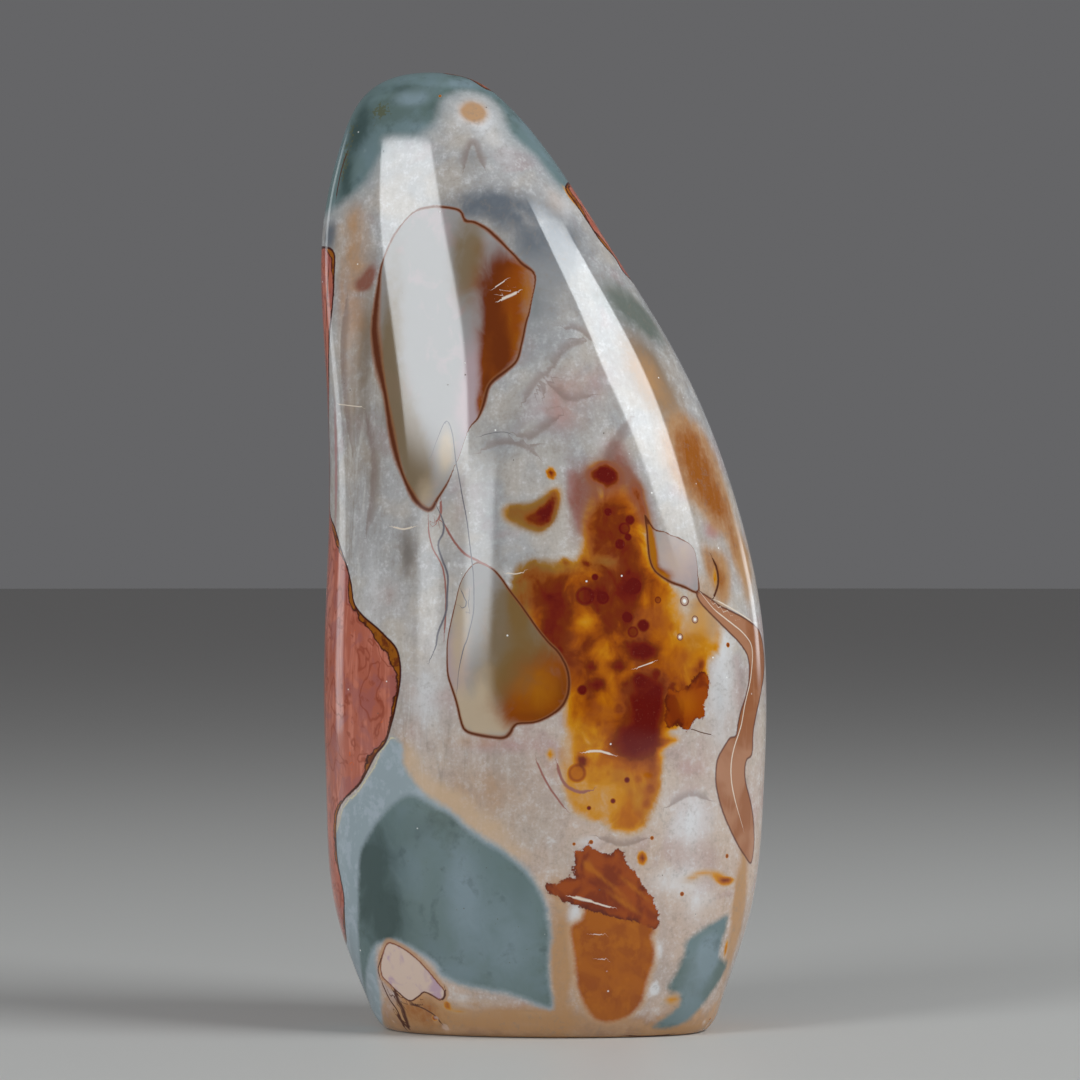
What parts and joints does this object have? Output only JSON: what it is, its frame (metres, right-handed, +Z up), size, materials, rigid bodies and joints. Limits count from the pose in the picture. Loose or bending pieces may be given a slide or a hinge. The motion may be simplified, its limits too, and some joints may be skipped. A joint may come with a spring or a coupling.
{
  "type": "polished stone freeform",
  "caption": "Upright polished freeform of banded and mottled jasper, leaning to one side at its rounded top and ground flat underneath so that it stands.",
  "frame": {"origin": "on the ground base's plane, under the middle of the stone's width and depth", "axes": "+Z up along the stone's height, -Y towards the viewer of its broad front, +X to that viewer's right"},
  "size_m": [0.07, 0.046, 0.15],
  "materials": {
    "jasper": "high polish, mottled in grey, cream, orange, brick red and blue-green"
  },
  "bodies": {
    "root": {"stone": "jasper"}
  },
  "joints": []
}
